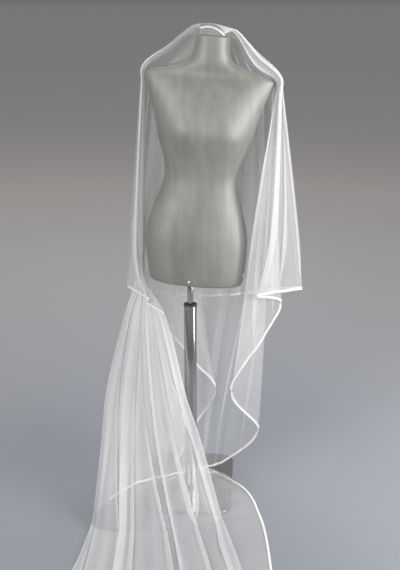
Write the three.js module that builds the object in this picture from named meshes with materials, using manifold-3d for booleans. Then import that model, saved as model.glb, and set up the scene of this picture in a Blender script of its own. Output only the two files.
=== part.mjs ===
// A two-tier bridal veil of tulle with a ribbon edge, on a limbless dress form with a chromed stand.
// Millimetres, +Z up. The origin is on the floor under the stand's tube, +X to the viewer's right,
// and the viewer stands at -Y.
import * as THREE from 'three';
import { mergeVertices } from 'three/addons/utils/BufferGeometryUtils.js';
import Module from 'manifold-3d';

const wasm = await Module();
wasm.setup();

const V = (x, y, z) => new THREE.Vector3(x, y, z);
const radians = THREE.MathUtils.degToRad;

// Stand
const PLATE_WIDTH = 280;
const PLATE_DEPTH = 375;
const PLATE_THICK = 9;
const PLATE_CORNER = 45;
const PLATE_BEVEL = 1.5;
const PLATE_BACK = 25;
const PLATE_TURN = -4;
const TUBE_RADIUS = 20.5;
const TUBE_TOP = 668;
const COLLAR_RADIUS = 22;
const COLLAR_LIP = 6;
const ROD_RADIUS = 9.5;
const POLE_X = -3;
const ROUND_STEPS = 28;

// Dress form
const FORM_LIFT = 748;
const FORM_SHIFT = 2;
const FORM_LEAN = 4.9;
const FORM_HEIGHT = 750;
const NECK_RADIUS = 49;
const SOCKET_DEPTH = 90;
const FORM_STEPS = 40;
const STUD_RADIUS = 4;

// Cloth
const WALL = 1.2;
const RIBBON_WALL = 1.6;
const RIBBON_WIDTH = 7.5;
const GAP = 0.3;
const HEM_GAP = 0.5;
const SEAM = 0.25;
const FLOOR_SEAM = 2.2;
const NECK_CLEAR = 5;
const NECK_LIFT = 12;
const FOLD_STEEP = 0.1;
const DROP_STEPS = 10;
const TIER_LEVEL = 10;
const STEEPEST_SLANT = 0.4;
const COMB_HALF = 36;
const COMB_CENTRE = -4;
const COMB_FRONT = -35;
const COMB_RISE = 12;
const COMB_LIFT_LEFT = 18;
const COMB_LIFT_RIGHT = 3.2;
const COMB_SPINE = 3;
const COMB_TEETH = 13;
const COMB_TOOTH = 0.9;
const COMB_SIDES = 4;

// Looks
const silver = new THREE.MeshStandardMaterial({ color: 0xa9a99f, roughness: 0.42, metalness: 0.55 });
const chrome = new THREE.MeshStandardMaterial({ color: 0xc9c6c4, roughness: 0.12, metalness: 1 });
const darkPlastic = new THREE.MeshStandardMaterial({ color: 0x3b2f2c, roughness: 0.45, metalness: 0 });
const stud = new THREE.MeshStandardMaterial({ color: 0xe9e9e6, roughness: 0.25, metalness: 0.2 });
const pearl = new THREE.MeshStandardMaterial({ color: 0xe8e2d6, roughness: 0.35, metalness: 0.1 });
const tulle = new THREE.MeshStandardMaterial({ color: 0xe7e4df, roughness: 0.8, metalness: 0 });
const satin = new THREE.MeshStandardMaterial({ color: 0xf2ece0, roughness: 0.4, metalness: 0 });

const veilOnForm = new THREE.Group();

function add(name, geometry, material) {
  const mesh = new THREE.Mesh(geometry, material);
  mesh.name = name;
  veilOnForm.add(mesh);
}

function toSolid(geometry) {
  const bare = geometry.clone();
  bare.deleteAttribute('normal');
  bare.deleteAttribute('uv');
  const merged = mergeVertices(bare, 1e-3);
  const solid = new wasm.Mesh({
    numProp: 3,
    vertProperties: new Float32Array(merged.attributes.position.array),
    triVerts: new Uint32Array(merged.index.array),
  });
  return new wasm.Manifold(solid);
}

function fromSolid(solid) {
  const mesh = solid.getMesh();
  const geometry = new THREE.BufferGeometry();
  geometry.setAttribute('position', new THREE.BufferAttribute(mesh.vertProperties, 3));
  geometry.setIndex(new THREE.BufferAttribute(mesh.triVerts, 1));
  return geometry;
}

// Turned part from a profile of [radius, height] pairs that starts and ends on the axis
function turned(profile, steps = ROUND_STEPS) {
  const points = profile.map(([radius, height]) => new THREE.Vector2(radius, height));
  return new THREE.LatheGeometry(points, steps).rotateX(Math.PI / 2);
}

// Dress form: one row a section, bottom to neck, with half width, depths before and behind, and how
// far its middle lies to the right
const FORM_SECTIONS = [
  { height: 10, half: 146, front: 82, back: 88, aside: 13 },
  { height: 45, half: 151, front: 92, back: 98, aside: 11 },
  { height: 150, half: 158, front: 100, back: 110, aside: 3 },
  { height: 230, half: 141, front: 92, back: 98, aside: 0 },
  { height: 290, half: 121, front: 82, back: 82, aside: 0 },
  { height: 340, half: 111, front: 78, back: 72, aside: 0 },
  { height: 390, half: 118, front: 88, back: 74, aside: 0 },
  { height: 440, half: 134, front: 104, back: 80, aside: 0 },
  { height: 480, half: 146, front: 114, back: 86, aside: 0 },
  { height: 530, half: 158, front: 106, back: 92, aside: 0 },
  { height: 580, half: 174, front: 86, back: 92, aside: 0 },
  { height: 615, half: 187, front: 66, back: 84, aside: 0 },
  { height: 635, half: 190, front: 52, back: 74, aside: 3 },
  { height: 645, half: 178, front: 48, back: 68, aside: 0 },
  { height: 656, half: 138, front: 48, back: 64, aside: 0 },
  { height: 668, half: 96, front: 50, back: 60, aside: 0 },
  { height: 683, half: 65, front: 51, back: 56, aside: 0 },
  { height: 702, half: 54, front: 50, back: 52, aside: 0 },
  { height: 726, half: 50, front: 49, back: 49, aside: 0 },
  { height: FORM_HEIGHT, half: NECK_RADIUS, front: 48, back: 48, aside: 0 },
];
const FORM_SQUARENESS = 2.25;
const BUST_HEIGHT = 478;
const BUST_SIDE = 68;
const BUST_DEPTH = 14;
const BUST_SPREAD = 52;

function formPoint(section, angle) {
  const power = 2 / FORM_SQUARENESS;
  const across = Math.sign(Math.cos(angle)) * Math.abs(Math.cos(angle)) ** power;
  const along = Math.sign(Math.sin(angle)) * Math.abs(Math.sin(angle)) ** power;
  const depth = along < 0 ? section.front : section.back;
  const x = section.half * across;
  const up = (section.height - BUST_HEIGHT) / BUST_SPREAD;
  const side = (Math.abs(x) - BUST_SIDE) / BUST_SPREAD;
  const bust = along < 0 ? BUST_DEPTH * -along * Math.exp(-up * up - side * side) : 0;
  return V(x + section.aside, depth * along - bust, section.height);
}

function formGeometry() {
  const positions = [];
  const index = [];
  for (const section of FORM_SECTIONS) {
    for (let step = 0; step < FORM_STEPS; step += 1) {
      const point = formPoint(section, (step / FORM_STEPS) * 2 * Math.PI);
      positions.push(point.x, point.y, point.z);
    }
  }
  const last = FORM_SECTIONS.length - 1;
  for (let ring = 0; ring < last; ring += 1) {
    for (let step = 0; step < FORM_STEPS; step += 1) {
      const a = ring * FORM_STEPS + step;
      const b = ring * FORM_STEPS + ((step + 1) % FORM_STEPS);
      index.push(a, b, b + FORM_STEPS, a, b + FORM_STEPS, a + FORM_STEPS);
    }
  }
  const below = positions.length / 3;
  positions.push(FORM_SECTIONS[0].aside, 0, FORM_SECTIONS[0].height, 0, 0, FORM_HEIGHT);
  for (let step = 0; step < FORM_STEPS; step += 1) {
    const next = (step + 1) % FORM_STEPS;
    index.push(below, next, step);
    index.push(below + 1, last * FORM_STEPS + step, last * FORM_STEPS + next);
  }
  const geometry = new THREE.BufferGeometry();
  geometry.setAttribute('position', new THREE.Float32BufferAttribute(positions, 3));
  geometry.setIndex(index);
  return geometry;
}

const formPlace = new THREE.Matrix4()
  .makeRotationY(radians(FORM_LEAN))
  .setPosition(FORM_SHIFT, 0, FORM_LIFT);

// A place given in the form's own frame, from the middle of its lower edge up along its leaning axis
function onForm(x, y, height) {
  return V(x, y, height).applyMatrix4(formPlace);
}

function addForm() {
  const bore = ROD_RADIUS + GAP;
  const hole = turned([[0, -bore], [bore, -bore], [bore, SOCKET_DEPTH], [0, SOCKET_DEPTH]]);
  hole.translate(POLE_X, 0, FORM_LIFT);
  const body = formGeometry().applyMatrix4(formPlace);
  add('torso', fromSolid(toSolid(body).subtract(toSolid(hole))), silver);
}

// Section of the form at any height above its lower edge, between the two lowest rows
function lowSection(height) {
  const [lower, upper] = FORM_SECTIONS;
  const share = (height - lower.height) / (upper.height - lower.height);
  const between = (key) => THREE.MathUtils.lerp(lower[key], upper[key], share);
  const [half, front, back, aside] = ['half', 'front', 'back', 'aside'].map(between);
  return { height, half, front, back, aside };
}

// A stud is a small dome that sits square on the form's surface at a section's angle
function addStud(name, height, angle) {
  const section = lowSection(height);
  const seat = formPoint(section, radians(angle));
  const rise = formPoint(lowSection(height + 1), radians(angle)).sub(seat).normalize();
  const outward = V((seat.x - section.aside) / section.half ** 2, seat.y / section.front ** 2, 0).normalize();
  outward.addScaledVector(rise, -outward.dot(rise)).normalize();
  const dome = turned([[0, 0], [STUD_RADIUS, 0], [STUD_RADIUS * 0.8, 1.6], [0, 2.4]], 12);
  const place = new THREE.Matrix4().makeRotationFromQuaternion(
    new THREE.Quaternion().setFromUnitVectors(V(0, 0, 1), outward),
  );
  place.setPosition(seat.addScaledVector(outward, 2 * GAP));
  add(name, dome.applyMatrix4(place).applyMatrix4(formPlace), stud);
}

function addStand() {
  const half = PLATE_WIDTH / 2 - PLATE_BEVEL;
  const deep = PLATE_DEPTH / 2 - PLATE_BEVEL;
  const round = PLATE_CORNER - PLATE_BEVEL;
  const outline = new THREE.Shape();
  outline.absarc(half - round, deep - round, round, 0, Math.PI / 2);
  outline.absarc(round - half, deep - round, round, Math.PI / 2, Math.PI);
  outline.absarc(round - half, round - deep, round, Math.PI, 1.5 * Math.PI);
  outline.absarc(half - round, round - deep, round, 1.5 * Math.PI, 2 * Math.PI);
  const plate = new THREE.ExtrudeGeometry(outline, {
    depth: PLATE_THICK - 2 * PLATE_BEVEL,
    bevelThickness: PLATE_BEVEL,
    bevelSize: PLATE_BEVEL,
    bevelSegments: 1,
    curveSegments: 6,
  });
  plate.translate(0, PLATE_BACK, PLATE_BEVEL).rotateZ(radians(PLATE_TURN));
  plate.translate(POLE_X, 0, 0);
  add('base_plate', plate, chrome);

  const tubeFoot = PLATE_THICK + GAP;
  const tube = turned([[0, tubeFoot], [TUBE_RADIUS, tubeFoot], [TUBE_RADIUS, TUBE_TOP], [0, TUBE_TOP]]);
  add('stand_tube', tube.translate(POLE_X, 0, 0), chrome);

  const lip = TUBE_TOP + GAP;
  const bore = ROD_RADIUS + GAP;
  const collar = turned([
    [bore, lip], [COLLAR_RADIUS, lip], [COLLAR_RADIUS, lip + COLLAR_LIP - 1.5],
    [COLLAR_RADIUS - 1.5, lip + COLLAR_LIP], [bore, lip + COLLAR_LIP], [bore, lip],
  ]);
  add('stand_collar', collar.translate(POLE_X, 0, 0), darkPlastic);

  const rodTop = FORM_LIFT + SOCKET_DEPTH - GAP;
  const rod = turned([[0, lip], [ROD_RADIUS, lip], [ROD_RADIUS, rodTop], [0, rodTop]]);
  add('stand_rod', rod.translate(POLE_X, 0, 0), chrome);
}

// The comb's spine, an arch over the front of the neck's flat top, lifted at its left end;
// share runs 0 to 1 from left to right
function combPoint(share, behind, above) {
  const lift = THREE.MathUtils.lerp(COMB_LIFT_LEFT, COMB_LIFT_RIGHT, share);
  const height = FORM_HEIGHT + lift + 4 * COMB_RISE * share * (1 - share) + above;
  return onForm(COMB_CENTRE + COMB_HALF * (2 * share - 1), COMB_FRONT + behind, height);
}

// A bar of a given section along a path
function barAlong(points, section, steps) {
  const path = new THREE.CatmullRomCurve3(points);
  const outline = new THREE.Shape(section.map(([x, y]) => new THREE.Vector2(x, y)));
  return new THREE.ExtrudeGeometry(outline, { steps, extrudePath: path });
}

function addComb() {
  const arch = [];
  for (let step = 0; step <= 8; step += 1) arch.push(combPoint(step / 8, 0, 0));
  const half = COMB_SPINE / 2;
  let comb = toSolid(barAlong(arch, [[-half, -half], [half, -half], [half, half], [-half, half]], 12));
  const round = [];
  for (let side = 0; side < COMB_SIDES; side += 1) {
    const angle = (side / COMB_SIDES) * 2 * Math.PI;
    round.push([COMB_TOOTH * Math.cos(angle), COMB_TOOTH * Math.sin(angle)]);
  }
  const seat = FORM_HEIGHT + COMB_TOOTH + GAP;
  for (let tooth = 0; tooth < COMB_TEETH; tooth += 1) {
    const share = (tooth + 0.5) / COMB_TEETH;
    const x = COMB_CENTRE + COMB_HALF * (2 * share - 1);
    const path = [
      combPoint(share, 0, 0),
      onForm(x, COMB_FRONT + 4, seat + 3),
      onForm(x, COMB_FRONT + 12, seat),
      onForm(x, COMB_FRONT + 27, seat),
    ];
    comb = comb.add(toSolid(barAlong(path, round, 5)));
  }
  add('comb', fromSolid(comb), pearl);
}

// Folds of the veil. Each row is one fold line from the comb down to the hem:
//   at        share along the comb, 0 left to 1 right
//   layer     height over the comb's spine, so that the outer tier lies on top
//   leave     angle at which the line leaves the neck's rim, 0 right, 90 back, 180 left
//   sag       how far it hangs below a straight line between neck and shoulder
//   shoulder, hip, thigh, knee, calf, ankle and hem are places on the line
//   folds     soft folds between this line and the next
//   depth     how deep those folds are at the hem
const VEIL_FOLDS = [
  { name: 'tuckCorner', at: 0, layer: 5, leave: 176, sag: 1, folds: 1, depth: 1.5,
    shoulder: [-134, -7, 1408], hip: [-157, 17, 900], thigh: [-151, 5, 772], hem: [-88, -27, 648] },
  { name: 'tuckBack', at: 0, layer: 7, leave: 172, sag: 0, folds: 1, depth: 1.5,
    shoulder: [-136, 14, 1410], hip: [-170, 38, 900], thigh: [-160, 34, 775], hem: [-146, 14, 672] },
  { name: 'leftEdge', at: 0, layer: 10, leave: 178, sag: 0, folds: 1, depth: 3,
    shoulder: [-138, -4, 1412], hip: [-169, 8, 905], thigh: [-164, -10, 785], hem: [-133, -20, 693] },
  { name: 'leftTurn', at: 0.05, layer: 10, leave: 160, sag: 0, folds: 2, depth: 4,
    shoulder: [-141, 29, 1411], hip: [-190, 56, 890], hem: [-209, 82, 701] },
  { name: 'backLeft', at: 0.16, layer: 10, leave: 132, sag: 4, folds: 2, depth: 9,
    shoulder: [-118, 95, 1370], hip: [-166, 148, 880], hem: [-172, 168, 658] },
  { name: 'backInnerLeft', at: 0.33, layer: 10, leave: 108, sag: 5, folds: 2, depth: 9,
    shoulder: [-40, 120, 1345], hip: [-78, 172, 872], hem: [-80, 184, 641] },
  { name: 'backMiddle', at: 0.52, layer: 10, leave: 88, sag: 5, folds: 2, depth: 9,
    shoulder: [55, 123, 1338], hip: [30, 176, 866], hem: [28, 188, 631] },
  { name: 'backInnerRight', at: 0.7, layer: 10, leave: 68, sag: 5, folds: 2, depth: 9,
    shoulder: [145, 117, 1330], hip: [140, 170, 860], hem: [148, 177, 640] },
  { name: 'backRight', at: 0.84, layer: 10, leave: 42, sag: 3, folds: 2, depth: 7,
    shoulder: [230, 82, 1345], hip: [258, 140, 862], hem: [268, 142, 670] },
  { name: 'rightTurn', at: 0.92, layer: 10, leave: 16, sag: 1, folds: 3, depth: 8,
    shoulder: [265, 24, 1381], hip: [336, 24, 890], hem: [352, -6, 725] },
  { name: 'rightCorner', at: 0.98, layer: 9, leave: -10, sag: 8, folds: 1, depth: 2,
    shoulder: [263, -24, 1376], hip: [239, -78, 905], hem: [204, -90, 729] },
  { name: 'middleTurn', at: 0.99, layer: 7, leave: -4, sag: 13, folds: 1, depth: 2,
    shoulder: [260, 4, 1373], hip: [272, 2, 900], hem: [291, 20, 666] },
  { name: 'cascadeStep', at: 0.99, layer: 5.5, leave: -9, sag: 19, folds: 2, depth: 2,
    shoulder: [258, -9, 1371], hip: [226, -38, 905], thigh: [230, -28, 720], hem: [234, -18, 563] },
  { name: 'cascadeCorner', at: 0.99, layer: 4, leave: -13, sag: 26, folds: 1, depth: 4,
    shoulder: [254, -20, 1368], hip: [187, -68, 912], thigh: [160, -54, 640], hem: [131, -10, 365] },
  { name: 'cascadeBack', at: 0.97, layer: 2, leave: 4, sag: 19, folds: 1, depth: 6,
    shoulder: [253, 9, 1367], hip: [246, 62, 890], thigh: [243, 74, 560], hem: [231, 92, 158] },
  { name: 'lowerRight', at: 0.87, layer: 0, leave: 34, sag: 5, folds: 2, depth: 7,
    shoulder: [224, 67, 1343], hip: [224, 108, 875], knee: [178, 122, 480], hem: [112, 108, 32] },
  { name: 'lowerInnerRight', at: 0.68, layer: 0, leave: 64, sag: 7, folds: 2, depth: 7,
    shoulder: [140, 102, 1326], hip: [126, 142, 865], knee: [80, 134, 480], hem: [46, 100, 13] },
  { name: 'lowerMiddle', at: 0.48, layer: 0, leave: 88, sag: 8, folds: 2, depth: 7,
    shoulder: [50, 107, 1332], hip: [18, 149, 865], knee: [-40, 128, 480], hem: [-77, 48, 13] },
  { name: 'lowerInnerLeft', at: 0.28, layer: 0, leave: 110, sag: 7, folds: 2, depth: 7,
    shoulder: [-38, 105, 1340], hip: [-86, 144, 870], knee: [-150, 96, 480], hem: [-199, -10, 12] },
  { name: 'leftFold', at: 0.12, layer: 0.5, leave: 138, sag: 3, folds: 2, depth: 8,
    shoulder: [-117, 84, 1368], hip: [-168, 100, 890], thigh: [-190, 94, 705], knee: [-212, 76, 640],
    calf: [-285, 32, 360], ankle: [-300, -32, 200], hem: [-316, -190, 8] },
  { name: 'frontLeft', at: 0.09, layer: 1.5, leave: 148, sag: 2, folds: 2, depth: 9,
    shoulder: [-133.5, 34, 1406], hip: [-171, 80, 890], thigh: [-171, 76, 705], knee: [-196, 46, 640],
    calf: [-262, -16, 360], ankle: [-280, -88, 200], hem: [-300, -252, 9] },
  { name: 'frontInnerLeft', at: 0.07, layer: 2.2, leave: 153, sag: 2, folds: 2, depth: 10,
    shoulder: [-133.5, 25, 1407], hip: [-168, 68, 890], thigh: [-160, 60, 705], knee: [-172, 26, 640],
    calf: [-205, -50, 362], ankle: [-214, -118, 203], hem: [-215, -275, 9] },
  { name: 'frontMiddle', at: 0.05, layer: 2.8, leave: 158, sag: 2, folds: 2, depth: 10,
    shoulder: [-133.5, 17, 1407], hip: [-164, 59, 890], thigh: [-152, 47, 715], knee: [-146, 12, 642],
    calf: [-140, -76, 366], ankle: [-132, -136, 206], hem: [-110, -275, 10] },
  { name: 'frontInnerRight', at: 0.03, layer: 3.2, leave: 163, sag: 2, folds: 2, depth: 9,
    shoulder: [-133, 9, 1407], hip: [-158, 50, 890], thigh: [-149, 37, 740], knee: [-120, 5, 645],
    calf: [-72, -84, 370], ankle: [-46, -132, 215], hem: [0, -255, 11] },
  { name: 'frontRight', at: 0.02, layer: 3, leave: 167, sag: 2, folds: 1, depth: 3,
    shoulder: [-131.5, 2, 1406], hip: [-152, 42, 892], thigh: [-150, 31, 744], knee: [-92, 10, 645],
    calf: [-16, -66, 368], ankle: [32, -98, 230], hem: [98, -196, 16] },
  { name: 'frontTuck', at: 0.03, layer: 1, leave: 165, sag: 3, folds: 0, depth: 0,
    shoulder: [-131.5, 14, 1404], hip: [-145, 62, 890], thigh: [-146, 53, 744], knee: [-102, 38, 640],
    calf: [-60, -18, 366], ankle: [-48, -34, 220], hem: [-44, -64, 16] },
];

// Folds of the left flap, which turns in behind the form and hangs behind the pole
const FLAP_FOLDS = [
  { name: 'flapTop', at: 0.2, layer: -4, leave: 130, sag: 9, folds: 1, depth: 2,
    shoulder: [-94, 70, 1362], hip: [-118, 93, 880], thigh: [-98, 66, 700], hem: [-74, 40, 560] },
  { name: 'flapStep', at: 0.28, layer: -4.5, leave: 114, sag: 9, folds: 1, depth: 2,
    shoulder: [-52, 90, 1346], hip: [-56, 119, 880], thigh: [-26, 98, 640], hem: [14, 70, 430] },
  { name: 'flapCorner', at: 0.36, layer: -3.6, leave: 104, sag: 9, folds: 1, depth: 2,
    shoulder: [-12, 96, 1342], hip: [8, 128, 880], thigh: [44, 116, 560], hem: [82, 94, 322] },
  { name: 'flapBack', at: 0.28, layer: -2, leave: 114, sag: 8, folds: 1, depth: 2,
    shoulder: [-52, 97, 1347], hip: [-62, 131, 880], thigh: [-34, 118, 480], hem: [18, 92, 196] },
  { name: 'flapInner', at: 0.2, layer: -1.6, leave: 130, sag: 8, folds: 0, depth: 0,
    shoulder: [-97, 77, 1364], hip: [-128, 106, 880], thigh: [-100, 78, 480], hem: [-56, 46, 60] },
];

// Where the long tier goes on over the floor. Each row follows one fold line of its front stretch.
const TRAIN_FOLDS = [
  { name: 'leftFold', folds: 2, depth: 8, start: [-316, -190, 8], middle: [-345, -430, 4],
    far: [-385, -560, 3], end: [-398, -660, 1] },
  { name: 'frontLeft', folds: 2, depth: 9, start: [-300, -252, 9], middle: [-308, -480, 4],
    far: [-332, -660, 3], end: [-345, -800, 1] },
  { name: 'frontInnerLeft', folds: 2, depth: 10, start: [-215, -275, 9], middle: [-215, -500, 5],
    far: [-214, -700, 4], end: [-212, -880, 1] },
  { name: 'frontMiddle', folds: 2, depth: 10, start: [-110, -275, 10], middle: [-88, -510, 6],
    far: [-76, -720, 4], end: [-68, -918, 1] },
  { name: 'frontInnerRight', folds: 2, depth: 8, start: [0, -255, 11], middle: [46, -500, 9],
    far: [62, -700, 8], end: [74, -905, 7] },
  { name: 'frontRight', folds: 0, depth: 0, start: [98, -196, 16], middle: [146, -430, 14],
    far: [172, -640, 12], end: [176, -850, 9] },
];

// The train's right side, which lies under the front stretch. Each row is a place along its edge.
const SIDE_PLACES = [
  { inner: [-34, 58, 44], crest: [-8, 68, 46], edge: [26, 86, 34] },
  { inner: [-30, 34, 18], crest: [8, 56, 40], edge: [56, 66, 14] },
  { inner: [24, 34, 14], crest: [56, 52, 44], edge: [89, 64, 14] },
  { inner: [30, -20, 13], crest: [82, 6, 40], edge: [134, 26, 14] },
  { inner: [40, -80, 13], crest: [108, -50, 28], edge: [178, -10, 5] },
  { inner: [52, -150, 12], crest: [128, -118, 18], edge: [207, -72, 2] },
  { inner: [66, -205, 4], crest: [142, -180, 9], edge: [222, -150, 2] },
  { inner: [84, -290, 2], crest: [158, -262, 5], edge: [235, -240, 2] },
  { inner: [96, -437, 2], crest: [168, -437, 5], edge: [241, -437, 1] },
  { inner: [104, -650, 1], crest: [170, -650, 3], edge: [236, -650, 1] },
  { inner: [110, -850, 1], crest: [156, -860, 2], edge: [200, -840, 1] },
];

const smooth = (points) => new THREE.CatmullRomCurve3(points);
// Legs of a hanging line: comb to neck, neck to slope, slope to shoulder, then down its places.
// Over the neck its points lie at these legs; from the shoulder down they are evenly spaced
const TOP_LEGS = [0, 1, 1.5, 2, 2.5];
const SHOULDER_LEG = 3;
const LEG_STEPS = 40;
const ABOVE_SPINE = 1.5;
// How far to each side, in shares of a row of fold lines, the cloth's direction is read
const SIDE_STEP = 0.02;
const TRAIN_SHARES = [0, 0.11, 0.22, 0.33, 0.5, 0.66, 0.83, 1];
const SIDE_SHARES = [0, 0.17, 0.34, 0.5, 0.67, 0.84, 1];
const PLACE_KEYS = ['hip', 'thigh', 'knee', 'calf', 'ankle', 'hem'];
// Share of the way down to the hip at which a fold line has turned over the shoulder
const SHOULDER_BEND = 0.1;

// Points down one fold line, from just behind the comb's spine over the neck and shoulder to the hem
function hangingLine(row) {
  const comb = combPoint(row.at, COMB_SPINE / 2 + GAP + WALL, ABOVE_SPINE + row.layer);
  const rim = NECK_RADIUS + NECK_CLEAR + row.layer;
  const turn = radians(row.leave);
  const neck = onForm(rim * Math.cos(turn), rim * Math.sin(turn), FORM_HEIGHT + NECK_LIFT + row.layer);
  const shoulder = V(...row.shoulder);
  const slope = neck.clone().lerp(shoulder, 0.5).add(V(0, 0, -row.sag));
  const drop = PLACE_KEYS.filter((key) => row[key]).map((key) => V(...row[key]));
  const bend = shoulder.clone().lerp(drop[0], SHOULDER_BEND);
  const curve = smooth([comb, neck, slope, shoulder, bend, ...drop]);
  const legs = curve.points.length - 1;
  const top = TOP_LEGS.map((leg) => curve.getPoint(leg / legs));
  const lengths = curve.getLengths(LEG_STEPS * legs);
  const whole = lengths[lengths.length - 1];
  const before = lengths[LEG_STEPS * SHOULDER_LEG];
  for (let step = 0; step <= DROP_STEPS; step += 1) {
    top.push(curve.getPointAt(Math.min(1, (before + ((whole - before) * step) / DROP_STEPS) / whole)));
  }
  return top;
}

// Points along the floor part of one fold line
function floorLine(row) {
  const curve = smooth([row.start, row.middle, row.far, row.end].map((place) => V(...place)));
  return TRAIN_SHARES.map((share) => curve.getPoint(share));
}

// How far down a line its folds have opened, from the comb at 0 to the hem at 1
const hangingOpen = (share) => 0.1 + 0.9 * THREE.MathUtils.smoothstep(share, 0.1, 0.9);
const floorOpen = (share) => 1 - 0.8 * share;

// Columns of points running down the folds, from one place among the rows to another;
// there is a column on each ridge and in each trough
function sheetColumns(rows, lines, opened, from, to) {
  const levels = lines[0].length;
  const across = [];
  for (let level = 0; level < levels; level += 1) across.push(smooth(lines.map((line) => line[level])));
  const spans = rows.length - 1;
  const places = [from];
  for (let span = Math.floor(from); span < to; span += 1) {
    places.push(span);
    const halves = 2 * rows[span].folds;
    for (let half = 0; half < halves; half += 1) places.push(span + (half + 0.5) / halves);
  }
  places.push(to);
  const inside = [...new Set(places)].filter((place) => place >= from && place <= to).sort((a, b) => a - b);
  return inside.map((place) => {
    const span = Math.min(spans - 1, Math.floor(place));
    const row = rows[span];
    const wave = Math.sin(2 * Math.PI * row.folds * (place - span));
    return across.map((curve, level) => {
      const u = place / spans;
      const point = curve.getPoint(u);
      const before = curve.getPoint(Math.max(0, u - SIDE_STEP));
      const along = curve.getPoint(Math.min(1, u + SIDE_STEP)).sub(before);
      const lower = across[Math.min(levels - 1, level + 1)].getPoint(u);
      const upper = across[Math.max(0, level - 1)].getPoint(u);
      const outward = along.cross(lower.sub(upper)).normalize();
      const width = lines[span][level].distanceTo(lines[span + 1][level]) / Math.max(1, row.folds);
      const depth = Math.min(row.depth * opened(level / (levels - 1)), FOLD_STEEP * width);
      point.addScaledVector(outward, depth * wave);
      point.z = Math.max(point.z, WALL / 2);
      return point;
    });
  });
}

// Directions square to the cloth at each point of a grid of columns
function gridNormals(columns) {
  const wide = columns.length;
  const tall = columns[0].length;
  return columns.map((column, i) => column.map((point, j) => {
    const across = columns[Math.min(wide - 1, i + 1)][j].clone().sub(columns[Math.max(0, i - 1)][j]);
    const down = column[Math.min(tall - 1, j + 1)].clone().sub(column[Math.max(0, j - 1)]);
    return across.cross(down).normalize();
  }));
}

// A closed wall of even thickness on both sides of a grid of columns
function wallGeometry(columns, normals, thick) {
  const wide = columns.length;
  const tall = columns[0].length;
  const positions = [];
  for (let i = 0; i < wide; i += 1) {
    for (let j = 0; j < tall; j += 1) {
      const half = normals[i][j].clone().multiplyScalar(thick / 2);
      const middle = columns[i][j];
      positions.push(...middle.clone().add(half).toArray(), ...middle.clone().sub(half).toArray());
    }
  }
  const outer = (i, j) => 2 * (i * tall + j);
  const index = [];
  const quad = (a, b, c, d) => index.push(a, b, c, a, c, d);
  for (let i = 0; i < wide - 1; i += 1) {
    for (let j = 0; j < tall - 1; j += 1) {
      quad(outer(i, j), outer(i + 1, j), outer(i + 1, j + 1), outer(i, j + 1));
      quad(outer(i, j) + 1, outer(i, j + 1) + 1, outer(i + 1, j + 1) + 1, outer(i + 1, j) + 1);
    }
    const end = tall - 1;
    quad(outer(i, 0), outer(i, 0) + 1, outer(i + 1, 0) + 1, outer(i + 1, 0));
    quad(outer(i, end), outer(i + 1, end), outer(i + 1, end) + 1, outer(i, end) + 1);
  }
  for (let j = 0; j < tall - 1; j += 1) {
    const last = wide - 1;
    quad(outer(0, j), outer(0, j + 1), outer(0, j + 1) + 1, outer(0, j) + 1);
    quad(outer(last, j), outer(last, j) + 1, outer(last, j + 1) + 1, outer(last, j + 1));
  }
  const geometry = new THREE.BufferGeometry();
  geometry.setAttribute('position', new THREE.Float32BufferAttribute(positions, 3));
  geometry.setIndex(index);
  return geometry;
}

// Point at a distance back from the end of a line towards the point before it
function backFrom(end, before, distance) {
  return end.clone().addScaledVector(before.clone().sub(end).normalize(), distance);
}

// Draws the outer columns in by a seam's half gap, so that neighbours stand clear of each other
function trimSeams(columns) {
  const last = columns.length - 1;
  for (const [edge, next] of [[0, 1], [last, last - 1]]) {
    columns[edge] = columns[edge].map((point, j) => backFrom(point, columns[next][j], SEAM));
  }
}

// The upper piece of a stretch, down to the tier's level
function addTop(name, columns, normals) {
  const top = columns.map((column) => [
    ...column.slice(0, TIER_LEVEL), backFrom(column[TIER_LEVEL], column[TIER_LEVEL - 1], 2 * SEAM),
  ]);
  add(name, wallGeometry(top, normals.map((column) => column.slice(0, TIER_LEVEL + 1)), WALL), tulle);
}

// Splits a stretch at its lower edge into the cloth and the ribbon sewn along it. Where the edge runs
// aslant to the folds, the ribbon is measured square to the edge. What lies under the short tier can be
// a piece of its own, which ends at the tier's level.
function addHemmed(name, ribbonName, columns, topName = null) {
  trimSeams(columns);
  const normals = gridNormals(columns);
  const from = topName ? TIER_LEVEL : 0;
  if (topName) addTop(topName, columns, normals);
  const last = columns.length - 1;
  const ends = columns.map((column) => column.slice(-2));
  const hem = ends.map((end) => end[1]);
  const slants = ends.map(([above, end], i) => {
    const up = above.clone().sub(end).normalize();
    const sides = [hem[Math.max(0, i - 1)], hem[Math.min(last, i + 1)]].filter((side) => side !== end);
    const sines = sides.map((side) => side.clone().sub(end).normalize().cross(up).length());
    return Math.max(STEEPEST_SLANT, ...sines);
  });
  const cloth = columns.map((column, i) => [
    ...column.slice(from, -1), backFrom(hem[i], ends[i][0], (RIBBON_WIDTH + HEM_GAP) / slants[i]),
  ]);
  const ribbon = hem.map((end, i) => [backFrom(end, ends[i][0], RIBBON_WIDTH / slants[i]), end.clone()]);
  for (const point of ribbon.flat()) point.z = Math.max(point.z, RIBBON_WALL / 2);
  add(name, wallGeometry(cloth, normals.map((column) => column.slice(from)), WALL), tulle);
  const edge = normals.map((column) => [column[column.length - 1], column[column.length - 1]]);
  add(ribbonName, wallGeometry(ribbon, edge, RIBBON_WALL), satin);
}

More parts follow.
